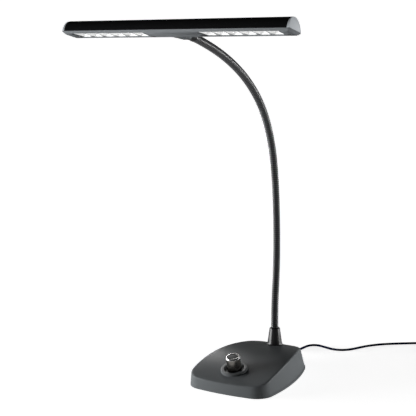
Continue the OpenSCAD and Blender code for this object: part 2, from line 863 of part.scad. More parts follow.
// ---- Supply lead ----
// Way of the lead over the table to the coil, measured from under the tip of its relief
run_points = [[0, 6.5, 9], [0, 13.5, 7.8], [0.5, 20.5, 5.2], [1, 27.5, 2.8], [2, 35.5, 1.75],
    [3.3, 46.5, 1.75], [4.6, 57.5, 1.75], [6.8, 63.5, 1.75], [11.3, 68.1, 1.75],
    [17, 69.9, 1.75], [23, 69.3, 1.75], [33, 66.1, 1.75], [45, 62.7, 1.75], [56, 63.7, 1.75],
    [63, 67.5, 1.75], [69, 73.5, 1.75], [74, 81.5, 1.75], [78.5, 90.5, 1.75],
    [85, 102.5, 1.75], [94, 114.5, 1.75], [105, 125.5, 1.75], [118, 135.5, 1.75],
    [131, 144.5, 1.75], [145, 153.7, 1.75], [159, 162.3, 1.75]];

// The coil winds in and out again in four layers, and climbs one where the spiral turns back
coil_at = [186, 148.5];
coil_out = 25.7;
coil_pitch = 4.1;
coil_turns = 2.8;
coil_layers = 4;
coil_steps = 24;
coil_start = 120;
coil_angle = 360 * coil_turns;
coil_end = coil_start - coil_layers * coil_angle;

function coil_dir(a) = [sin(a), -cos(a), 0];
function coil_layer(a) = floor(min(a / coil_angle, coil_layers - 0.001));
function coil_r(a) = let (n = coil_layer(a), u = a / coil_angle - n)
    coil_out - coil_pitch * coil_turns * (n % 2 == 0 ? u : 1 - u);
function climb(x) = (1 + sin(min(max(x, -90), 90))) / 2;
function coil_level(a) =
    climb(a - coil_angle) + climb(a - 2 * coil_angle) + climb(a - 3 * coil_angle);
function coil_point(a) = [
    coil_at.x + coil_r(a) * cos(coil_start - a),
    coil_at.y + coil_r(a) * sin(coil_start - a),
    cord_d / 2 + coil_pitch * coil_level(a)];
coil_winding = [for (k = [0 : coil_steps * coil_turns * coil_layers])
    coil_point(k * 360 / coil_steps)];
coil_last = coil_winding[len(coil_winding) - 1];
coil_in = coil_winding[0] - cord_d * coil_dir(coil_start);
coil_leave = coil_last + cord_d * coil_dir(coil_end);

// Least gap between turns, measured between the winding's points half a turn or more apart
coil_gap = min([for (i = [0 : len(coil_winding) - 1 - coil_steps / 2])
    min([for (j = [i + coil_steps / 2 : len(coil_winding) - 1])
        norm(coil_winding[i] - coil_winding[j])])]) - cord_d;
echo(least_gap_between_turns = coil_gap);

// The tail comes down from the top layer into the plug beside the coil
plug_at = [244, 130.9, 7];
plug_turn = -42;
plug_half = [17.5, 7];
plug_relief = 18;
plug_len = 36;
tail_points = [[210, 161.5, 14.05], [215, 157, 13.6], [221, 151.6, 11.8], [227, 146.2, 9.4],
    [233, 140.8, 7.5], [239, 135.4, 7]];

module at_relief_tip() {
    translate([0, gland_y + gland_out, 0]) children();
}

module cord_run() {
    way = concat([[0, 0, gland_z]], run_points, [coil_in - 4 * coil_dir(coil_start)]);
    color("#101014") at_relief_tip() lead(concat(smooth(way, 2), [coil_in]), cord_d, 8);
}

module cord_coil() {
    path = concat([coil_in], coil_winding, [coil_leave]);
    last = len(path) - 1;
    color("#101014") at_relief_tip() skin([for (i = [0 : last])
        let (along = i < 2 ? coil_dir(coil_start)
            : i > last - 2 ? coil_dir(coil_end) : path_dir(path, i))
        ring(path[i], along, unit(cross(along, [0, 0, 1])), cord_d / 2, 6)], 6);
}

module cord_tail() {
    color("#101014") at_relief_tip()
        lead(concat([coil_leave], tail_points, [plug_at]), cord_d, 8);
}

module at_plug() {
    at_relief_tip() translate(plug_at) rotate([0, 0, plug_turn]) rotate([0, 90, 0]) children();
}

// Flat two-pin plug with a tapered relief; it lies on its broad side
module plug_body() {
    face = plug_relief + plug_len;
    relief_r = 4.4;
    waist = [6.5, 5];
    shoulder = [12.5, 6.8];
    shoulder_at = 14;
    body_rows = [[plug_relief, waist], [plug_relief + shoulder_at, shoulder],
        [face - 4, plug_half], [face - 1, plug_half]];
    color("#101014") at_plug() {
        cylinder(r1 = cord_d / 2 + 0.6, r2 = relief_r, h = plug_relief + 2);
        hull() for (row = body_rows)
            translate([0, 0, row[0]]) linear_extrude(1) for (side = [-1, 1])
                translate([0, side * (row[1].x - row[1].y)]) circle(r = row[1].y, $fn = 24);
    }
}

module plug_pins() {
    pin_r = 2;
    pin_len = 18;
    tip_t = 1;
    spacing = 18.6;
    color("silver") at_plug() for (side = [-1, 1])
        translate([0, side * spacing / 2, plug_relief + plug_len]) {
            cylinder(r = pin_r, h = pin_len);
            translate([0, 0, pin_len]) cylinder(r1 = pin_r, r2 = pin_r - 0.8, h = tip_t);
        }
}

echo(pivots = pivots, pivot_leans = pivot_leans);
echo(knob_at = [0, -knob_front, crown_z(-knob_front)], knob_lean = crown_lean(-knob_front));
echo(head_origin = head_origin, neck_end = neck_end, neck_end_lean = neck_end_lean);

base_cover();
base_weight();
bottom_plate();
anti_slip_pad();
bottom_screws();
dimmer_bezel();
dimmer_board();
dimmer_pot();
dimmer_nut();
dimmer_shaft();
dimmer_knob();
knob_cap();
neck_ferrule();
neck_stud();
neck_nut();
cable_gland();
inner_lead();
neck_lead();
neck_link(0);  // gooseneck_1
neck_link(1);  // gooseneck_2
neck_link(2);  // gooseneck_3
neck_link(3);  // gooseneck_4
neck_link(4);  // gooseneck_5
neck_link(5);  // gooseneck_6
neck_link(6);  // gooseneck_7
neck_link(7);  // gooseneck_8
neck_link(8);  // gooseneck_9
neck_sleeve();
neck_end_fitting();
head_socket();
socket_screws();
head_shell();
head_panel();
panel_screws();
end_cap(-1);  // end_cap_left
end_cap(1);  // end_cap_right
reflector(-1);  // reflector_left
reflector(1);  // reflector_right
led_board(-1);  // led_board_left
led_board(1);  // led_board_right
leds(-1);  // leds_left
leds(1);  // leds_right
cord_run();
cord_coil();
cord_tail();
plug_body();
plug_pins();
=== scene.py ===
import json
from math import atan2, cos, pi, radians, sin, sqrt

import bmesh
import bpy
from mathutils import Matrix, Vector


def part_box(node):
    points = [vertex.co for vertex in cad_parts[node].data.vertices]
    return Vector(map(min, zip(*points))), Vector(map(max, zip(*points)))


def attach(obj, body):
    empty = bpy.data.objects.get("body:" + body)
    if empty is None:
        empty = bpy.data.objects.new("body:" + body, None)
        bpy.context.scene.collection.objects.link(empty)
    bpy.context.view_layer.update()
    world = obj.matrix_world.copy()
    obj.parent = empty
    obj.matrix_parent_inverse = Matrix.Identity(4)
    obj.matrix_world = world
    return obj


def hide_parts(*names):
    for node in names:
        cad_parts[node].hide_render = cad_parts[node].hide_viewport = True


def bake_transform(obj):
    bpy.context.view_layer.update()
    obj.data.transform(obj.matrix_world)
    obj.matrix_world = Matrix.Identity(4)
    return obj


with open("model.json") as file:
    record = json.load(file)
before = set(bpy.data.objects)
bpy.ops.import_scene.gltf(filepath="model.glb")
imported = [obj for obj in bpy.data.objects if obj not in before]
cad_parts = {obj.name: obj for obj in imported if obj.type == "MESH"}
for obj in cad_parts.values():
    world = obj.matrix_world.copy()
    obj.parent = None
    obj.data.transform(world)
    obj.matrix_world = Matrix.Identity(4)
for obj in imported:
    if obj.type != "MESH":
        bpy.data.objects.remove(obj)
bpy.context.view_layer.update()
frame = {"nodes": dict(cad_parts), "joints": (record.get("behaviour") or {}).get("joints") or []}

scene = bpy.context.scene
scene.view_settings.view_transform = "Standard"
nodes = frame["nodes"]
MM = 0.001

# ---- Camera: the lamp seen from its front right, a little above the table ----
# It stands at the place from which the base, the arm and the head line up with the photograph.
camera_place = Vector((0.6821, -1.2567, 0.4743))
camera_turn = radians(30.942)
camera_pitch = radians(-9.239)
camera_roll = radians(-0.614)
camera_data = bpy.data.cameras.new("camera")
camera_data.sensor_width = 36
camera_data.lens = 91.11
camera_data.clip_end = 60
camera = bpy.data.objects.new("camera", camera_data)
scene.collection.objects.link(camera)
camera.matrix_world = (Matrix.Translation(camera_place)
                       @ Matrix.Rotation(camera_turn, 4, "Z")
                       @ Matrix.Rotation(pi / 2 + camera_pitch, 4, "X")
                       @ Matrix.Rotation(camera_roll, 4, "Z"))
scene.camera = camera

# ---- Supply lead: round two-core lead in a smooth blue-black sheath ----
# It leaves the rear wall, drops to the table, runs off to the right and lies there wound for storage.
lead_d = 3.5
exit_z = 9
_, gland_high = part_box("cable_gland")
lead_exit = Vector((0, gland_high[1], exit_z * MM))
under_exit = Vector((0, gland_high[1] / MM, 0))
run_points = [(0, 6.5, 9), (0, 13.5, 7.8), (0.5, 20.5, 5.2), (1, 27.5, 2.8), (2, 35.5, 1.75),
              (3.3, 46.5, 1.75), (4.6, 57.5, 1.75), (6.8, 63.5, 1.75), (11.3, 68.1, 1.75),
              (17, 69.9, 1.75), (23, 69.3, 1.75), (33, 66.1, 1.75), (45, 62.7, 1.75), (56, 63.7, 1.75),
              (63, 67.5, 1.75), (69, 73.5, 1.75), (74, 81.5, 1.75), (78.5, 90.5, 1.75),
              (85, 102.5, 1.75), (94, 114.5, 1.75), (105, 125.5, 1.75), (118, 135.5, 1.75),
              (131, 144.5, 1.75), (145, 153.7, 1.75), (159, 162.3, 1.75)]
tail_points = [(210, 161.5, 14.05), (215, 157, 13.6), (221, 151.6, 11.8), (227, 146.2, 9.4),
               (233, 140.8, 7.5), (239, 135.4, 7), (244, 130.9, 7)]
coil_at = Vector((186, 148.5, lead_d / 2))
coil_out = 25.7
coil_pitch = 4.1
coil_turns = 2.8
coil_layers = 4
coil_start = 120
coil_angle = 360 * coil_turns


def coil_heading(angle):
    """Direction in which the winding runs at an angle."""
    return Vector((sin(radians(angle)), -cos(radians(angle)), 0))


def climb(angle):
    """Share of the step up to the next layer, taken over half a turn."""
    return (1 + sin(radians(max(-90, min(90, angle))))) / 2


def coil_point(angle):
    """Place on the winding: layers that run in and out by turns, each on top of the last."""
    layer, inward = divmod(min(angle / coil_angle, coil_layers - 1e-6), 1)
    radius = coil_out - coil_pitch * coil_turns * (inward if layer % 2 == 0 else 1 - inward)
    level = sum(climb(angle - n * coil_angle) for n in range(1, coil_layers))
    around = radians(coil_start - angle)
    return coil_at + Vector((radius * cos(around), radius * sin(around), coil_pitch * level))


def smooth_run(points, steps):
    """Catmull-Rom curve through the points, each gap cut into steps."""
    row = [Vector(p) for p in points]
    curve = []
    for i in range(len(row) - 1):
        a, b, c, d = row[max(i - 1, 0)], row[i], row[i + 1], row[min(i + 2, len(row) - 1)]
        for k in range(steps):
            u = k / steps
            curve.append(b + (c - a) * u / 2 + (a - b * 2.5 + c * 2 - d / 2) * u ** 2
                         + (b * 1.5 - a / 2 - c * 1.5 + d / 2) * u ** 3)
    return curve + [row[-1]]


coil_steps = 36
coil_last = coil_start - coil_layers * coil_angle
coil_stations = round(coil_steps * coil_turns * coil_layers)
winding = [coil_point(k * 360 / coil_steps) for k in range(coil_stations + 1)]
coil_in = winding[0] - coil_heading(coil_start) * lead_d
coil_leave = winding[-1] + coil_heading(coil_last) * lead_d
run = smooth_run([(0, 0, exit_z)] + run_points + [coil_in - coil_heading(coil_start) * 4], 5)
tail = smooth_run([coil_leave] + tail_points, 4)
route = [(under_exit + p) * MM for p in run + [coil_in] + winding + tail]


def placed(place, point):
    """A point in millimetres, moved from place's own axes to the lamp's."""
    return place @ (Vector(point) * MM) / MM


def lofted(rows):
    """Skin over closed rows of points in millimetres, open at both ends; also each row's verts and edges."""
    bm = bmesh.new()
    verts = [[bm.verts.new(p * MM) for p in row] for row in rows]
    edges = [[bm.edges.new((row[i - 1], row[i])) for i in range(len(row))] for row in verts]
    for low, high in zip(edges, edges[1:]):
        bmesh.ops.bridge_loops(bm, edges=low + high)
    return bm, verts, edges


def finish_piece(name, bm, material, body, replaced, sharp=35):
    """Turns a finished bmesh into a smooth-shaded piece that rides on a body."""
    bmesh.ops.recalc_face_normals(bm, faces=bm.faces)
    mesh = bpy.data.meshes.new(name)
    bm.to_mesh(mesh)
    bm.free()
    mesh.shade_smooth()
    mesh.set_sharp_from_angle(angle=radians(sharp))
    mesh.materials.append(material)
    piece = bpy.data.objects.new(name, mesh)
    scene.collection.objects.link(piece)
    if body:
        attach(piece, body)
    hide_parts(*replaced)
    return piece


def group_nodes(name, inputs, outputs):
    """Empty shader group with named float inputs and outputs."""
    group = bpy.data.node_groups.new(name, "ShaderNodeTree")
    for label, value in inputs.items():
        socket = group.interface.new_socket(label, in_out="INPUT", socket_type="NodeSocketFloat")
        socket.default_value = value
    for label in outputs:
        group.interface.new_socket(label, in_out="OUTPUT", socket_type="NodeSocketFloat")
    return group, group.nodes.new("NodeGroupInput"), group.nodes.new("NodeGroupOutput")


# Fine grain and broad cloudiness, which every finish on the lamp has in some measure
grain_group, grain_in, grain_out = group_nodes(
    "grain", {"Grain Scale": 1500.0, "Cloud Scale": 30.0}, ["Grain", "Cloud"])
grain_place = grain_group.nodes.new("ShaderNodeTexCoord")
for label, scale_label, detail in (("Grain", "Grain Scale", 2.0), ("Cloud", "Cloud Scale", 5.0)):
    noise = grain_group.nodes.new("ShaderNodeTexNoise")
    noise.inputs["Detail"].default_value = detail
    grain_group.links.new(grain_place.outputs["Object"], noise.inputs["Vector"])
    grain_group.links.new(grain_in.outputs[scale_label], noise.inputs["Scale"])
    grain_group.links.new(noise.outputs["Fac"], grain_out.inputs[label])


def finish(name, colour, rough, grain_scale=1500, bump=0.15, tone=0.12, rough_spread=0.06,
           metallic=0.0, specular=0.5, coat=0.0, coat_rough=0.1, glow=None, cloud_scale=30):
    """Material with its grain as bump, and clouds in its tone and roughness."""
    material = bpy.data.materials.new(name)
    material.use_nodes = True
    tree = material.node_tree
    shader = tree.nodes["Principled BSDF"]
    shader.inputs["Metallic"].default_value = metallic
    shader.inputs["Specular IOR Level"].default_value = specular
    shader.inputs["Coat Weight"].default_value = coat
    shader.inputs["Coat Roughness"].default_value = coat_rough
    grain = tree.nodes.new("ShaderNodeGroup")
    grain.node_tree = grain_group
    grain.inputs["Grain Scale"].default_value = grain_scale
    grain.inputs["Cloud Scale"].default_value = cloud_scale
    mix = tree.nodes.new("ShaderNodeMix")
    mix.data_type = "RGBA"
    mix.inputs["A"].default_value = (*[c * (1 - tone) for c in colour], 1)
    mix.inputs["B"].default_value = (*[c * (1 + tone) for c in colour], 1)
    tree.links.new(grain.outputs["Cloud"], mix.inputs["Factor"])
    tree.links.new(mix.outputs["Result"], shader.inputs["Base Color"])
    spread = tree.nodes.new("ShaderNodeMapRange")
    spread.inputs["To Min"].default_value = rough - rough_spread
    spread.inputs["To Max"].default_value = rough + rough_spread
    tree.links.new(grain.outputs["Cloud"], spread.inputs["Value"])
    tree.links.new(spread.outputs["Result"], shader.inputs["Roughness"])
    relief = tree.nodes.new("ShaderNodeBump")
    relief.inputs["Strength"].default_value = bump
    relief.inputs["Distance"].default_value = 0.1 * MM
    tree.links.new(grain.outputs["Grain"], relief.inputs["Height"])
    tree.links.new(relief.outputs["Normal"], shader.inputs["Normal"])
    if glow:
        shader.inputs["Emission Color"].default_value = (*glow[:3], 1)
        shader.inputs["Emission Strength"].default_value = glow[3]
    return material


sheath = finish("sheath", (0.006, 0.009, 0.03), 0.5, bump=0.05, tone=0.1, specular=0.0)
lead_curve = bpy.data.curves.new("supply_lead", "CURVE")
lead_curve.dimensions = "3D"
lead_curve.bevel_depth = lead_d / 2 * MM
lead_curve.bevel_resolution = 4
lead_curve.use_fill_caps = True
lead_spline = lead_curve.splines.new("POLY")
lead_spline.points.add(len(route) - 1)
for point, place in zip(lead_spline.points, route):
    point.co = (*place, 1)
lead_curve.materials.append(sheath)
supply_lead = bpy.data.objects.new("supply_lead", lead_curve)
scene.collection.objects.link(supply_lead)
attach(supply_lead, "base")
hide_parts("cord_run", "cord_coil", "cord_tail")

# The plug is moulded on: a ribbed relief, a waist to grip and a flat body that ends in a rounded face
plug_frame = (Matrix.Translation((under_exit + Vector(tail_points[-1])) * MM)
              @ Matrix.Rotation(radians(-42), 4, "Z")
              @ Matrix.Rotation(pi / 2, 4, "Y"))
boot_start_r, boot_spread, boot_len = 2.35, 2.05, 20
boot_grooves, boot_pitch = 4, 4
grip_grooves, grip_start, grip_pitch = 4, 32, 3.6
plug_rows = [(0, 2.2, 2.2), (0.5, boot_start_r, boot_start_r)]
for groove in range(boot_grooves):
    z = 3 + boot_pitch * groove
    outer = boot_start_r + boot_spread * z / boot_len
    for rise, drop in ((0, 0), (0.4, 0.6), (1.3, 0.55), (1.7, -0.12)):
        plug_rows.append((z + rise, outer - drop, outer - drop))
plug_rows += [(17.5, 4.1, 4.1), (18.2, 5, 4.5), (19, 6.6, 5), (24, 8.9, 5.6), (29, 11.1, 6.3)]
for groove in range(grip_grooves):
    z = grip_start + grip_pitch * groove
    half = 12.5 + (z - grip_start) * 0.27
    plug_rows += [(z, half, 6.8), (z + 0.5, half, 6.35),
                  (z + 1.8, half + 0.3, 6.35), (z + 2.3, half + 0.4, 6.85)]
plug_rows += [(48, 17, 6.95), (50, 17.5, 7), (53.1, 17.5, 7), (53.7, 17.3, 6.8), (54, 16.8, 6.3)]


def flat_ring(z, half_wide, half_high, steps=12):
    """Points round a flat section with half-round ends, across the plug at z."""
    ring = []
    for end in (1, -1):
        for k in range(steps + 1):
            turn = pi * k / steps
            across = half_wide - half_high + half_high * sin(turn)
            ring.append(placed(plug_frame, (end * half_high * cos(turn), end * across, z)))
    return ring


plug, plug_verts, _ = lofted([flat_ring(*row) for row in plug_rows])
for row in (plug_verts[0], plug_verts[-1]):
    plug.faces.new(row)
bmesh.ops.remove_doubles(plug, verts=plug.verts, dist=0.002 * MM)
plug_black = finish("plug_black", (0.012, 0.012, 0.014), 0.5, bump=0.3, grain_scale=2500, specular=0.3)
plug_moulding = finish_piece("plug_moulding", plug, plug_black, "base", ["plug_body"], sharp=50)

# ---- Base cover: one deep shell, moulded with draft and painted satin graphite ----
# Its outline is a trapezium with bowed sides and round corners, and its crowned top meets the walls
# in a small round. The lower rim stands open round the bottom plate.
base_front_half, base_rear_half, base_depth = 59.9, 43.8, 163.9
bow_front, bow_side, bow_rear = 5.7, 11.2, 4.2
corner_front, corner_rear, corner_loss = 25, 31, 7
draft_nose, draft_front, draft_rear, draft_back = 1, 4, 7.9, 5.2
crest_z, crest_y, crown_r = 33.4, 19, 322
cover_gap, rim_wall, rim_round, recess_depth = 0.6, 2.5, 1.7, 3
corner_steps, side_steps = 12, 18
foot_front = bow_front - (base_depth + bow_front + bow_rear) / 2
foot_rear = foot_front + base_depth


def crown_height(y):
    """Height of the crowned top, an arc from the front to the rear."""
    return crest_z - crown_r + sqrt(crown_r ** 2 - (y - crest_y) ** 2)


def side_circle(p, q, sag):
    """Centre and radius of the bowed side from p to q."""
    chord = q - p
    radius = (chord.length_squared / 4 + sag ** 2) / (2 * sag)
    inward = Vector((-chord.y, chord.x)).normalized()
    return (p + q) / 2 + inward * (radius - sag), radius


def circles_meet(a, radius_a, b, radius_b, near):
    """Where two circles cross, on the side that lies nearer to a point."""
    along = (b - a).normalized()
    across = Vector((-along.y, along.x))
    gap = (b - a).length
    x = (gap ** 2 + radius_a ** 2 - radius_b ** 2) / (2 * gap)
    y = sqrt(radius_a ** 2 - x ** 2)
    return min((a + along * x + across * side * y for side in (-1, 1)), key=lambda p: (p - near).length)


def arc(centre, start, end, steps):
    """Points round a centre from start up to end, without the end itself."""
    first = atan2(start.y - centre.y, start.x - centre.x)
    turn = (atan2(end.y - centre.y, end.x - centre.x) - first) % (2 * pi)
    radius = (start - centre).length
    return [centre + radius * Vector((cos(first + turn * k / steps), sin(first + turn * k / steps)))
            for k in range(steps)]


def base_outline(half_front, half_rear, front, rear, r_front, r_rear):
    """Closed outline of four bowed sides and four round corners, each touching its neighbours."""
    corners = [Vector((-half_front, front)), Vector((half_front, front)),
               Vector((half_rear, rear)), Vector((-half_rear, rear))]
    bows = [bow_front, bow_side, bow_rear, bow_side]
    radii = [r_front, r_front, r_rear, r_rear]
    sides = [side_circle(corners[k], corners[(k + 1) % 4], bows[k]) for k in range(4)]
    rounds = [circles_meet(sides[k - 1][0], sides[k - 1][1] - radii[k], sides[k][0],
                           sides[k][1] - radii[k], corners[k]) for k in range(4)]

    def touch(side, centre):
        middle, radius = sides[side]
        return middle + (centre - middle).normalized() * radius

    outline = []
    for k in range(4):
        outline += arc(rounds[k], touch(k - 1, rounds[k]), touch(k, rounds[k]), corner_steps)
        outline += arc(sides[k][0], touch(k, rounds[k]), touch(k, rounds[(k + 1) % 4]), side_steps)
    return outline


foot_line = base_outline(base_front_half, base_rear_half, foot_front, foot_rear, corner_front, corner_rear)
top_line = base_outline(base_front_half - draft_front, base_rear_half - draft_rear,
                        foot_front + draft_nose, foot_rear - draft_back,
                        corner_front - corner_loss, corner_rear - corner_loss)


def wall_point(foot, top, height):
    """Where the drafted wall between two outline points reaches a height that depends on y."""
    place = foot.lerp(top, height(foot.y) / crest_z)
    place = foot.lerp(top, height(place.y) / crest_z)
    return Vector((place.x, place.y, height(place.y)))


graphite_paint = finish("graphite_paint", (0.12, 0.129, 0.134), 0.5, bump=0.12, tone=0.06, specular=0.0,
                        coat=0.1, coat_rough=0.28)

walls = list(zip(foot_line, top_line))
spine_half = 44


def crown_ring(inward):
    """The rim moved a share of the way to the ridge along the cover's middle."""
    ring = []
    for f, t in walls:
        edge = wall_point(f, t, crown_height)
        y = edge.y + (max(-spine_half, min(spine_half, edge.y)) - edge.y) * inward
        ring.append(Vector((edge.x * (1 - inward), y, crown_height(y))))
    return ring


cover_rows = [[wall_point(f, t, lambda y: cover_gap) for f, t in walls],
              [wall_point(f, t, lambda y: crown_height(y) - 2.5 * rim_round) for f, t in walls]]
cover_rows += [crown_ring(inward) for inward in (0, 0.06, 0.15, 0.3, 0.45, 0.6, 0.75, 0.9, 1)]
cover, cover_verts, cover_edges = lofted(cover_rows)
bmesh.ops.bevel(cover, geom=cover_edges[2], offset=rim_round * MM, offset_type="OFFSET", segments=5,
                profile=0.5, affect="EDGES", material=-1)
bottom = cover.faces.new(cover_verts[0])
bmesh.ops.inset_region(cover, faces=[bottom], thickness=rim_wall * MM, use_even_offset=True)
recess = bmesh.ops.extrude_face_region(cover, geom=[bottom])
cover.faces.remove(bottom)
bmesh.ops.translate(cover, verts=[g for g in recess["geom"] if isinstance(g, bmesh.types.BMVert)],
                    vec=(0, 0, recess_depth * MM))
bmesh.ops.remove_doubles(cover, verts=cover.verts, dist=0.01 * MM)
finish_piece("base_cover_shell", cover, graphite_paint, "base", ["base_cover"], sharp=50)

# ---- Dimmer: raised ring, knob with a polished rim, and the disc let into its top ----
# The ring is moulded and painted with the cover. The knob is turned from aluminium and anodised dark,
# its rim is cut bright after that, and the disc is pressed in.
knob_joint = next(j for j in frame["joints"] if j["name"] == "dimmer_turn")
knob_lean = atan2(-knob_joint["axis"][1], knob_joint["axis"][2])
knob_frame = Matrix.Translation(knob_joint["pos_m"]) @ Matrix.Rotation(knob_lean, 4, "X")
knob_r, knob_h, knob_foot, cap_r = 9.9, 20.7, 1.1, 7.7
ring_r, well_r, ring_h = 18.7, 13, 3


def turned(profile, place, steps=96):
    """Solid of revolution about place's own Z from (radius, height) points in millimetres."""
    bm = bmesh.new()
    verts = [bm.verts.new((r * MM, 0, z * MM)) for r, z in profile]
    edges = [bm.edges.new(pair) for pair in zip(verts, verts[1:])]
    bmesh.ops.spin(bm, geom=verts + edges, cent=(0, 0, 0), axis=(0, 0, 1), angle=2 * pi, steps=steps,
                   use_merge=True)
    bmesh.ops.remove_doubles(bm, verts=bm.verts, dist=0.002 * MM)
    bmesh.ops.transform(bm, matrix=place, verts=bm.verts)
    return bm


def rounded(profile, radii, steps=4):
    """The profile with a small round of the given radius at each inner point."""
    out = [profile[0]]
    for k in range(1, len(profile) - 1):
        a, b, c = (Vector(p) for p in profile[k - 1:k + 2])
        cut = min(radii[k - 1], (a - b).length / 2.2, (c - b).length / 2.2)
        if cut <= 0:
            out.append(profile[k])
            continue
        start, end = b + (a - b).normalized() * cut, b + (c - b).normalized() * cut
        for s in range(steps + 1):
            u = s / steps
            point = start * (1 - u) ** 2 + b * 2 * u * (1 - u) + end * u ** 2
            out.append((point.x, point.y))
    return out + [profile[-1]]


ring_profile = rounded([(3.7, 0.4), (well_r - 0.6, 0.4), (well_r, 1), (well_r + 0.7, ring_h),
                        (ring_r - 0.3, ring_h), (ring_r, 1.2), (ring_r, -1)], [0, 0.5, 1.1, 1.5, 0.8])
ring_paint = finish("ring_paint", (0.1, 0.106, 0.11), 0.5, bump=0.12, tone=0.06, specular=0.03)
finish_piece("dimmer_ring", turned(ring_profile, knob_frame), ring_paint,
             "base", ["dimmer_bezel"])

knob_profile = rounded([(8, 3), (8, knob_foot), (knob_r, knob_foot), (knob_r, knob_h - 1.8),
                        (knob_r - 1.1, knob_h), (cap_r, knob_h), (cap_r, knob_h - 0.7), (0, knob_h - 0.7)],
                       [0.2, 0.4, 0.25, 0.25, 0.15, 0.1])
knob_metal = finish("knob_metal", (0.15, 0.144, 0.133), 0.24, metallic=1.0, bump=0.05, grain_scale=900)
knob_bright = finish("knob_bright", (0.28, 0.28, 0.286), 0.26, metallic=1.0, bump=0.03, tone=0.03,
                     grain_scale=900)
knob_bm = turned(knob_profile, knob_frame)
to_knob = knob_frame.inverted()
for face in knob_bm.faces:
    middle = to_knob @ face.calc_center_median()
    if middle.z > (knob_h - 2) * MM and middle.xy.length > (knob_r - 1.3) * MM:
        face.material_index = 1
knob = finish_piece("dimmer_knob_turned", knob_bm, knob_metal, "knob", ["dimmer_knob"])
knob.data.materials.append(knob_bright)
disc_r = cap_r - 0.06
knob_disc = finish("knob_disc", (0.114, 0.116, 0.117), 0.42, bump=0.1, specular=0.0, coat=0.1, coat_rough=0.3)
disc_profile = rounded([(disc_r, knob_h - 1.1), (disc_r, knob_h - 0.4), (0, knob_h - 0.4)], [0.15])
finish_piece("knob_disc", turned(disc_profile, knob_frame), knob_disc, "knob", ["knob_cap"])

# ---- Neck ferrule: turned cone with a flared foot, painted with the base ----
# It clamps the gooseneck's end, and a stud from inside holds it to the cover.
ferrule_low, ferrule_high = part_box("neck_ferrule")
neck_back = (ferrule_low[1] + ferrule_high[1]) / 2 / MM
ferrule_top = ferrule_high[2] / MM
ferrule_seat = ferrule_low[2] / MM
ferrule_profile = rounded([(12.3, ferrule_seat), (12.3, ferrule_seat + 2.2), (11.6, ferrule_seat + 3.1),
                           (10.7, ferrule_seat + 4.8), (7.6, ferrule_top - 1), (7, ferrule_top),
                           (5.05, ferrule_top), (4.2, ferrule_top - 0.8)], [0.4, 0.5, 1.2, 0.5, 0.3, 0.2])
ferrule_black = finish("ferrule_black", (0.012, 0.012, 0.013), 0.4, bump=0.08, specular=0.0,
                       coat=0.45, coat_rough=0.28)
finish_piece("neck_ferrule_turned", turned(ferrule_profile, Matrix.Translation((0, neck_back * MM, 0))),
             ferrule_black, "base", ["neck_ferrule"])

# ---- Strain relief: soft black grommet in the rear wall, which tapers towards the lead ----
# It is snapped into its hole from inside, and three grooves let it bend.
relief_frame = Matrix.Translation(lead_exit) @ Matrix.Rotation(pi / 2, 4, "X")
relief_len, relief_tip_r, relief_spread, relief_grooves = 18.8, 2.45, 1.85, 3
relief_profile = [(4, 25), (4, 21), (5.5, 21), (5.5, 19.6), (4.3, relief_len)]
for groove in range(relief_grooves):
    z = 16 - 4 * groove
    radius = relief_tip_r + relief_spread * z / relief_len
    relief_profile += [(radius + 0.1, z), (radius - 0.55, z - 0.3), (radius - 0.6, z - 1.1),
                       (radius - 0.15, z - 1.4)]
relief_profile += [(relief_tip_r, 0.4), (2.2, 0), (lead_d / 2, 0)]
relief_profile = rounded(relief_profile, [0.2] * (len(relief_profile) - 2))
soft_rubber = finish("soft_rubber", (0.012, 0.012, 0.012), 0.55, bump=0.2)
finish_piece("strain_relief", turned(relief_profile, relief_frame), soft_rubber,
             "base", ["cable_gland"])

# ---- Gooseneck: bendable tube wound of steel, each turn a rounded black rib ----
# Eight stretches, each bending smoothly over one pivot, meet where both ride on the same stretch.
# The bends are degrees over each link, forward from upright.
link_bend = [-6.5, 6, 4, 6.5, 17.5, 20.5, 13.5, 8.6, 4.5]
link_len, link_ribs, rib_r, groove_r, straight = 59.9, 20, 5.4, 4.7, 10
groove_shade_r = groove_r + 0.4
rib_steps, neck_sides = 8, 32


def neck_walk(steps_per_rib):
    """Stations along the whole arm: place and forward lean, from the ferrule to the head."""
    place = Vector((0, neck_back, ferrule_top))
    walk = [(place.copy(), 0.0)]
    lean = 0.0
    fine = 8
    step = link_len / (link_ribs * steps_per_rib * fine)
    for link, bend in enumerate(link_bend):
        lead_in = straight if link == 0 else 0
        lead_out = straight if link == len(link_bend) - 1 else 0
        for k in range(link_ribs * steps_per_rib * fine):
            middle = (k + 0.5) * step
            if lead_in < middle < link_len - lead_out:
                lean += radians(bend) * step / (link_len - lead_in - lead_out)
            place += Vector((0, -sin(lean), cos(lean))) * step
            if k % fine == fine - 1:
                walk.append((place.copy(), lean))
    return walk


def swept(stations, radii, sides):
    """Closed tube about the stations, rolled from a grid. Its grooves take the second material, painted
    near-black for the shade in them.
    """
    bm = bmesh.new()
    last = len(stations) - 1
    bmesh.ops.create_grid(bm, x_segments=last, y_segments=sides, size=0.5)
    for face in bm.faces:
        in_groove_shade = sum(radii[round((v.co.x + 0.5) * last)] for v in face.verts) / len(face.verts) < groove_shade_r
        face.material_index = 1 if in_groove_shade else 0
    for vert in bm.verts:
        station = round((vert.co.x + 0.5) * last)
        turn = 2 * pi * round((vert.co.y + 0.5) * sides) / sides
        place, lean = stations[station]
        across = Vector((cos(turn), sin(turn), 0)) * radii[station]
        vert.co = (place + Matrix.Rotation(lean, 3, "X") @ across) * MM
    bmesh.ops.remove_doubles(bm, verts=bm.verts, dist=0.001 * MM)
    bmesh.ops.holes_fill(bm, edges=[e for e in bm.edges if e.is_boundary])
    return bm


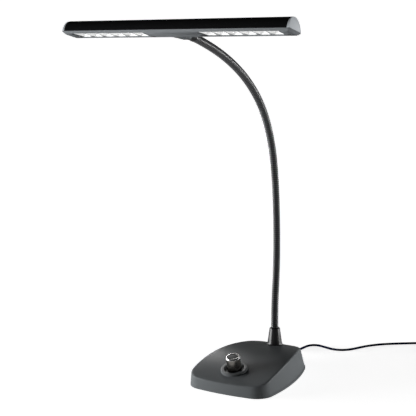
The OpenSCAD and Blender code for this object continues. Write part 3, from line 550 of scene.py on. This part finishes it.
walk = neck_walk(rib_steps)
walk_radii = [groove_r + (rib_r - groove_r) * sin(pi * (n % rib_steps) / rib_steps) ** 0.6
              for n in range(len(walk))]
neck_black = finish("neck_black", (0.031, 0.032, 0.035), 0.4, bump=0.08, tone=0.1, specular=0.0,
                    coat=0.88, coat_rough=0.24)
# The grooves between the ribs are painted near-black for the shade that falls in them.
neck_groove_shade = finish("neck_groove_shade", (0.003, 0.003, 0.003), 0.7, bump=0.05, specular=0.0)
pivots = len(link_bend) - 1
for k in range(1, pivots + 1):
    before, after = (round((k + half) * link_ribs * rib_steps) for half in (-0.5, 0.5))
    first = 0 if k == 1 else before
    last = len(walk) - 1 if k == pivots else after
    links = [f"gooseneck_{k}"] + ([f"gooseneck_{k + 1}"] if k == pivots else [])
    stretch = finish_piece(f"gooseneck_stretch_{k}",
                           swept(walk[first:last + 1], walk_radii[first:last + 1], neck_sides),
                           neck_black, None, links, sharp=60)
    stretch.data.materials.append(neck_groove_shade)
    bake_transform(stretch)

# ---- Sleeve at the arm's upper end: plain black tube pressed over the last ribs ----
# Its wider foot sits in the mouth of the head's socket and hides the joint. Where it stands out of the mouth,
# its black band is painted shade for the dark gap at the mouth.
neck_end, neck_end_lean = walk[-1]
neck_end_frame = Matrix.Translation(neck_end * MM) @ Matrix.Rotation(neck_end_lean, 4, "X")
sleeve_profile = rounded([(4.9, -3.5), (5.75, -3.5), (5.75, 7.2), (6.4, 7.6), (6.4, 13), (4.9, 13)],
                         [0.4, 0.2, 0.3, 0.2])
sleeve_black = finish("sleeve_black", (0.008, 0.008, 0.009), 0.45, bump=0.08, specular=0.05)
finish_piece("neck_sleeve_tube", turned(sleeve_profile, neck_end_frame), sleeve_black,
             "head", ["neck_sleeve"])

# ---- Head housing: half-round extrusion of aluminium, satin black ----
# Its underside is closed by the grey panel, and each end by a cap.
head_len, head_r, head_wall, cap_t, head_tilt = 316, 15.25, 1.6, 3, radians(12.3)
join_back, join_up = 38.8, 2.9
head_origin = (neck_end - join_back * Vector((0, cos(head_tilt), -sin(head_tilt)))
               - join_up * Vector((0, sin(head_tilt), cos(head_tilt))))
head_frame = Matrix.Translation(head_origin * MM) @ Matrix.Rotation(-head_tilt, 4, "X")
shell_end = head_len / 2 - cap_t


def half_ring(radius, steps):
    """Points along a half circle from the rear to the front, in the head's (y, z)."""
    return [(radius * cos(a), radius * sin(a)) for a in (pi * k / steps for k in range(steps + 1))]


def along_head(section, start, end):
    """Rows of one section at both ends of a stretch along the head."""
    return [[placed(head_frame, (x, y, z)) for y, z in section] for x in (start, end)]


head_black = finish("head_black", (0.005, 0.005, 0.0054), 0.5, bump=0.1, grain_scale=2500, tone=0.08,
                    specular=0.0, coat=0.035, coat_rough=0.25)
lip, lip_t = 2.6, 1.4
shell_section = half_ring(head_r, 64) + [(lip - head_r, 0), (lip - head_r, lip_t)]
shell_section += [(-y, z) for y, z in half_ring(head_r - head_wall, 48) if z > lip_t]
shell_section += [(head_r - lip, lip_t), (head_r - lip, 0)]
shell, shell_verts, _ = lofted(along_head(shell_section, -shell_end, shell_end))
for row in shell_verts:
    shell.faces.new(row)
finish_piece("head_housing", shell, head_black, "head", ["head_shell"], sharp=40)

# ---- Head panel: shallow grey tray moulded in one, with two long windows ----
# Its edges are rounded over, its ends slope in, and screws hold it to the housing.
panel_h, panel_wall, panel_round, edge_r = 3.9, 1.4, 0.35, 6.5
end_slope, end_lip = 3.5, 0.8
window_in, window_out, window_front, window_rear = 38, head_len / 2 - 14, -12.3, 8.5
edge_z = edge_r - panel_h
edge_run = sqrt(edge_r ** 2 - edge_z ** 2)
edge_y = head_r - 0.05 - edge_run
panel_grey = finish("panel_grey", (0.143, 0.152, 0.16), 0.5, bump=0.25, grain_scale=2500, tone=0.06,
                    specular=0.0)


def tray_edge(angle):
    """Point on the rear edge's round, in the head's (y, z)."""
    return (edge_y + edge_r * cos(angle), edge_z + edge_r * sin(angle))


def grid_cell(vert, columns, rows):
    """Which column and row a vertex of a fresh grid of size 0.5 stands in."""
    return round((vert.co.x + 0.5) * (len(columns) - 1)), round((vert.co.y + 0.5) * (len(rows) - 1))


edge_from = -atan2(edge_z, edge_run)
window_edge = -pi / 2 + atan2(-window_front - edge_y, sqrt(edge_r ** 2 - (window_front + edge_y) ** 2))
edge_turns = [edge_from + (window_edge - edge_from) * k / 6 for k in range(7)]
edge_turns += [window_edge + (-pi / 2 - window_edge) * k / 4 for k in range(1, 5)]
edge_line = [tray_edge(a) for a in edge_turns]
tray_line = [(-y, z) for y, z in edge_line] + [(window_rear, -panel_h)] + edge_line[::-1]
tray_stations = [-head_len / 2, -window_out, -window_in, window_in, window_out, head_len / 2]
tray = bmesh.new()
bmesh.ops.create_grid(tray, x_segments=len(tray_stations) - 1, y_segments=len(tray_line) - 1, size=0.5)
tray_ends = {0: [], len(tray_stations) - 1: []}
for vert in tray.verts:
    column, row = grid_cell(vert, tray_stations, tray_line)
    x, (y, z) = tray_stations[column], tray_line[row]
    if column in tray_ends:
        tray_ends[column].append((row, vert))
        x *= 1 - end_slope * max(0, -end_lip - z) / (panel_h - end_lip) / (head_len / 2)
    vert.co = Vector((x, y, z)) * MM
for row_verts in tray_ends.values():
    tray.faces.new([vert for _, vert in sorted(row_verts, key=lambda pair: pair[0])])
in_window = [f for f in tray.faces if len(f.verts) == 4
             and window_in * MM < abs(f.calc_center_median().x) < window_out * MM
             and window_front * MM < f.calc_center_median().y < window_rear * MM]
bmesh.ops.delete(tray, geom=in_window, context="FACES")
bmesh.ops.recalc_face_normals(tray, faces=tray.faces)
bmesh.ops.transform(tray, matrix=head_frame, verts=tray.verts)
panel = finish_piece("head_panel_tray", tray, panel_grey, "head", ["head_panel"], sharp=40)
thick = panel.modifiers.new("wall", "SOLIDIFY")
thick.thickness = panel_wall * MM
thick.offset = -1
thick.use_even_offset = True
soften = panel.modifiers.new("edges", "BEVEL")
soften.width = panel_round * MM
soften.segments = 2
soften.limit_method = "ANGLE"
soften.angle_limit = radians(40)

# ---- End caps: D-shaped light grey mouldings glued into the housing's ends ----
# Each face leans in towards its top and has a rounded rim.
cap_grey = finish("cap_grey", (0.335, 0.356, 0.378), 0.55, bump=0.35, grain_scale=2200, tone=0.05,
                  specular=0.2)
cap_lean, cap_round = radians(6), 0.7
cap_section = half_ring(head_r, 48)
for side, side_name in ((-1, "left"), (1, "right")):
    near, far = along_head(cap_section, side * shell_end, side * shell_end)
    reach = [side * (cap_t - z * sin(cap_lean) / cos(cap_lean)) for _, z in cap_section]
    far = [point + Vector((x, 0, 0)) for point, x in zip(far, reach)]
    cap, cap_verts, cap_edges = lofted([near, far])
    cap.faces.new(cap_verts[1])
    bmesh.ops.bevel(cap, geom=cap_edges[1], offset=cap_round * MM, offset_type="OFFSET", segments=4,
                    profile=0.5, affect="EDGES", material=-1)
    finish_piece(f"end_cap_{side_name}_moulding", cap, cap_grey, "head",
                 [f"end_cap_{side_name}"], sharp=60)

# ---- Reflectors: white troughs with a tapered cell for each lamp ----
# The cells carry a painted glow for the lamps' light on them, and the ribs between them are painted greyer
# for the shade there.
cell_glow = finish("cell_glow", (0.66, 0.665, 0.672), 0.35, bump=0.02, tone=0.01, glow=(1, 1, 1, 0.33))
rib_painted_shade = finish("rib_painted_shade", (0.38, 0.387, 0.394), 0.4, bump=0.03, tone=0.03, specular=0.2)
lamps_a_side = 6
cell = (window_out - window_in) / lamps_a_side
rib_half, rib_front, rib_rear = 1.8, 0.6, 3.0
cell_top_half, cell_top_gap, lamp_board, trough_lap = 4.2, 3, 3.8, 1.2
reflector_foot = panel_wall - panel_h + 0.15
for side, side_name in ((-1, "left"), (1, "right")):
    across = [(window_front + 0.3, -1.2), (window_front + 2, reflector_foot),
              (window_rear - 0.2, reflector_foot), (edge_y + 0.6, reflector_foot)]
    stations = [window_in - trough_lap]
    for k in range(lamps_a_side):
        stations += [window_in + cell * k + rib_half, window_in + cell * (k + 1) - rib_half]
    stations.append(window_out + trough_lap)
    trough = bmesh.new()
    bmesh.ops.create_grid(trough, x_segments=len(stations) - 1, y_segments=len(across) - 1, size=0.5)
    for vert in trough.verts:
        column, row = grid_cell(vert, stations, across)
        spread = 0
        if 0 < column < len(stations) - 1:
            spread = (0, rib_front - rib_half, rib_rear - rib_half, rib_rear - rib_half)[row]
            spread *= 1 if column % 2 else -1
        vert.co = Vector((side * (stations[column] + spread), *across[row])) * MM
    mouths = []
    for face in trough.faces:
        middle = face.calc_center_median() / MM
        in_cell = (abs(middle.x) - window_in) / cell % 1
        if 0.3 < in_cell < 0.7 and abs(middle.y - (across[1][0] + across[2][0]) / 2) < 1:
            mouths.append(face)
        # Cell mouths and the front slope take the painted glow; the ribs and the rest take the painted shade.
        face.material_index = 0 if face in mouths or middle.y < across[1][0] else 1
    tops = bmesh.ops.extrude_discrete_faces(trough, faces=mouths)["faces"]
    for face in tops:
        middle = face.calc_center_median()
        for vert in face.verts:
            x = middle.x + (cell / 2 - cell_top_gap) * MM * (1 if vert.co.x > middle.x else -1)
            y = cell_top_half * MM * (1 if vert.co.y > middle.y else -1)
            vert.co = Vector((x, y, lamp_board * MM))
    bmesh.ops.delete(trough, geom=tops, context="FACES_ONLY")
    bmesh.ops.transform(trough, matrix=head_frame, verts=trough.verts)
    reflector = finish_piece(f"reflector_{side_name}_trough", trough, cell_glow, "head",
                             [f"reflector_{side_name}"], sharp=20)
    reflector.data.materials.append(rib_painted_shade)

# ---- Socket: grey block that holds the arm, cast to the housing's rear ----
# Square at the arm and wider at the housing, with the arm's sleeve let into a round hole.
end_half, end_corner, socket_start, mouth_r = 7.2, 3.6, 11, 6.45
foot_half, foot_back, foot_top, foot_corner = 11, 11, 10, 2


def rounded_square(half_x, low, high, corner, steps=6):
    """Points round a rectangle with round corners."""
    points = []
    for k, (x, y) in enumerate(((half_x, high), (-half_x, high), (-half_x, low), (half_x, low))):
        centre = Vector((x - corner * (1 if x > 0 else -1), y - corner * (1 if y == high else -1)))
        for n in range(steps + 1):
            turn = pi / 2 * (k + n / steps)
            points.append(centre + corner * Vector((cos(turn), sin(turn))))
    return points


def at_socket_end(points, along, grow=0.0):
    """Points round the arm's axis, a distance on from the arm's end."""
    return [placed(neck_end_frame, (x * (1 + grow), y * (1 + grow), along)) for x, y in points]


end_square = rounded_square(end_half, -end_half, end_half, end_corner)
hole = [Vector((mouth_r * cos(a), mouth_r * sin(a))) for a in (atan2(p.y, p.x) for p in end_square)]
saddle = [placed(head_frame, (x, foot_back, z))
          for x, z in rounded_square(foot_half, -panel_h + 0.05, foot_top, foot_corner)]
socket_rows = [at_socket_end(hole, socket_start + 2), at_socket_end(hole, socket_start),
               at_socket_end(end_square, socket_start, -0.04),
               at_socket_end(end_square, socket_start + 0.5), saddle]
socket, _, _ = lofted(socket_rows)
# The socket's grey is the panel's, painted darker for the shade on its lower, rearward faces.
socket_shaded_grey = finish("socket_shaded_grey", (0.123, 0.13, 0.137), 0.5, bump=0.25, grain_scale=2500, tone=0.06,
                     specular=0.0)
finish_piece("head_socket_block", socket, socket_shaded_grey, "head", ["head_socket"], sharp=50)

# ---- Pieces kept as they come from the frame, each with its own finish ----
# Sealed in the base and the head, or small and plain enough to need no second mesh.
# The panel screws are painted near-black for the shade in their recesses.
screw_painted_shade = finish("screw_painted_shade", (0.02, 0.02, 0.02), 0.35, metallic=0.8, bump=0.1)
led_glow = finish("led_glow", (0.9, 0.86, 0.6), 0.2, bump=0.0, tone=0.01, glow=(1, 0.97, 0.9, 1.2))
# The LED boards are white, with a painted glow for the light of their lamps.
board_painted_glow = finish("board_painted_glow", (0.8, 0.8, 0.8), 0.5, bump=0.05, tone=0.03, glow=(1, 1, 1, 0.3))
board_green = finish("board_green", (0.02, 0.14, 0.06), 0.4, bump=0.1)
zinc = finish("zinc", (0.55, 0.56, 0.58), 0.3, metallic=1.0, bump=0.1, grain_scale=800)
iron = finish("iron", (0.09, 0.09, 0.09), 0.6, metallic=0.6, bump=0.6, grain_scale=400)
rubber = finish("rubber", (0.02, 0.02, 0.02), 0.7, bump=0.3, grain_scale=2000)
nickel = finish("nickel", (0.7, 0.68, 0.62), 0.18, metallic=1.0, bump=0.03)
kept_nodes = [
    (iron, ["base_weight"]),
    (zinc, ["bottom_plate", "bottom_screws", "dimmer_pot", "dimmer_nut", "dimmer_shaft", "neck_stud",
            "neck_nut", "neck_end_fitting", "socket_screws"]),
    (rubber, ["anti_slip_pad"]),
    (board_green, ["dimmer_board"]),
    (sheath, ["inner_lead", "neck_lead"]),
    (screw_painted_shade, ["panel_screws"]),
    (board_painted_glow, ["led_board_left", "led_board_right"]),
    (led_glow, ["leds_left", "leds_right"]),
    (nickel, ["plug_pins"]),
]
for material, names in kept_nodes:
    for name in names:
        for slot in nodes[name].material_slots:
            slot.material = material

# ---- Paper and lights: a round white sweep of paper about the lamp, and softboxes low beside it ----
# The paper is lifted to plain white for the camera and for reflections, most where it lies far off.
world = bpy.data.worlds.new("room")
world.use_nodes = True
world.node_tree.nodes["Background"].inputs["Color"].default_value = (1, 1, 1, 1)
world.node_tree.nodes["Background"].inputs["Strength"].default_value = 0.042
scene.world = world

tent_r, tent_h, tent_bend = 9000, 2000, 400
tent_line = [(0, 0), (1500, 0), (tent_r - tent_bend, 0)]
for k in range(1, 11):
    turn = pi / 20 * k
    tent_line.append((tent_r - tent_bend + tent_bend * sin(turn), tent_bend - tent_bend * cos(turn)))
tent = turned(tent_line + [(tent_r, tent_h)], Matrix.Identity(4))
tent_mesh = bpy.data.meshes.new("tent")
tent.to_mesh(tent_mesh)
tent.free()
tent_mesh.shade_smooth()
tent_round = bpy.data.objects.new("tent", tent_mesh)
scene.collection.objects.link(tent_round)

paper = bpy.data.materials.new("white_paper")
paper.use_nodes = True
paper_tree = paper.node_tree
paper_shader = paper_tree.nodes["Principled BSDF"]
paper_shader.inputs["Base Color"].default_value = (0.8, 0.8, 0.8, 1)
paper_shader.inputs["Roughness"].default_value = 0.9
paper_shader.inputs["Specular IOR Level"].default_value = 0.0
paper_shader.inputs["Emission Color"].default_value = (1, 1, 1, 1)


def paper_math(operation, first, second):
    """Math node on two values of the paper's material."""
    node = paper_tree.nodes.new("ShaderNodeMath")
    node.operation = operation
    paper_tree.links.new(first, node.inputs[0])
    paper_tree.links.new(second, node.inputs[1])
    return node.outputs[0]


def paper_fade(distance, near, far, at_near, at_far):
    """Value that goes from at_near to at_far as the distance goes from near to far."""
    node = paper_tree.nodes.new("ShaderNodeMapRange")
    for label, value in (("From Min", near), ("From Max", far), ("To Min", at_near), ("To Max", at_far)):
        node.inputs[label].default_value = value
    paper_tree.links.new(distance, node.inputs["Value"])
    return node.outputs["Result"]


ray = paper_tree.nodes.new("ShaderNodeLightPath")
paper_place = paper_tree.nodes.new("ShaderNodeTexCoord")
far_off = paper_tree.nodes.new("ShaderNodeVectorMath")
far_off.operation = "LENGTH"
# How far a place lies out on the camera's side
toward = paper_tree.nodes.new("ShaderNodeVectorMath")
toward.operation = "DOT_PRODUCT"
toward.inputs[1].default_value = (0.5135, -0.858, 0)
for node in (far_off, toward):
    paper_tree.links.new(paper_place.outputs["Object"], node.inputs[0])
# The room behind the camera is dim, so reflections of the paper fade out there.
room_dim = paper_fade(toward.outputs["Value"], 0.6, 2.2, 1, 0.1)
seen = paper_math("MAXIMUM", ray.outputs["Is Camera Ray"],
                  paper_math("MULTIPLY", room_dim, ray.outputs["Is Glossy Ray"]))
seen = paper_math("MAXIMUM", seen, ray.outputs["Is Transmission Ray"])
lift = paper_math("MULTIPLY", paper_fade(far_off.outputs["Value"], 0.35, 1.6, 0.85, 1), seen)
paper_tree.links.new(lift, paper_shader.inputs["Emission Strength"])
tent_mesh.materials.append(paper)


def soft_light(name, place, width, height, power, sheen_only=False):
    """Softbox that faces the lamp's base. With sheen_only it shows in gloss and leaves flat tones alone."""
    data = bpy.data.lights.new(name, "AREA")
    data.shape = "RECTANGLE"
    data.size, data.size_y = width, height
    data.energy = power
    softbox = bpy.data.objects.new(name, data)
    softbox.location = place
    softbox.rotation_euler = (Vector((0, 0, 0.1)) - Vector(place)).to_track_quat("-Z", "Y").to_euler()
    softbox.visible_diffuse = not sheen_only
    scene.collection.objects.link(softbox)


soft_light("rear_left_softbox", (-1.26, 0.98, 0.66), 1.0, 0.6, 67, sheen_only=True)
soft_light("left_softbox", (-1.68, -0.89, 0.14), 1.6, 0.26, 69)
soft_light("right_softbox", (1.55, 1.25, 0.14), 1.8, 0.26, 45)

# A narrow spot lights the head alone
snoot_data = bpy.data.lights.new("head_snoot", "SPOT")
snoot_data.energy = 77
snoot_data.shadow_soft_size = 0.15
snoot_data.spot_size = radians(14)
snoot_data.spot_blend = 0.5
snoot = bpy.data.objects.new("head_snoot", snoot_data)
snoot.location = (-0.7, -2.0, 0.46)
snoot.rotation_euler = (Vector((0, -0.19, 0.475)) - snoot.location).to_track_quat("-Z", "Y").to_euler()
scene.collection.objects.link(snoot)
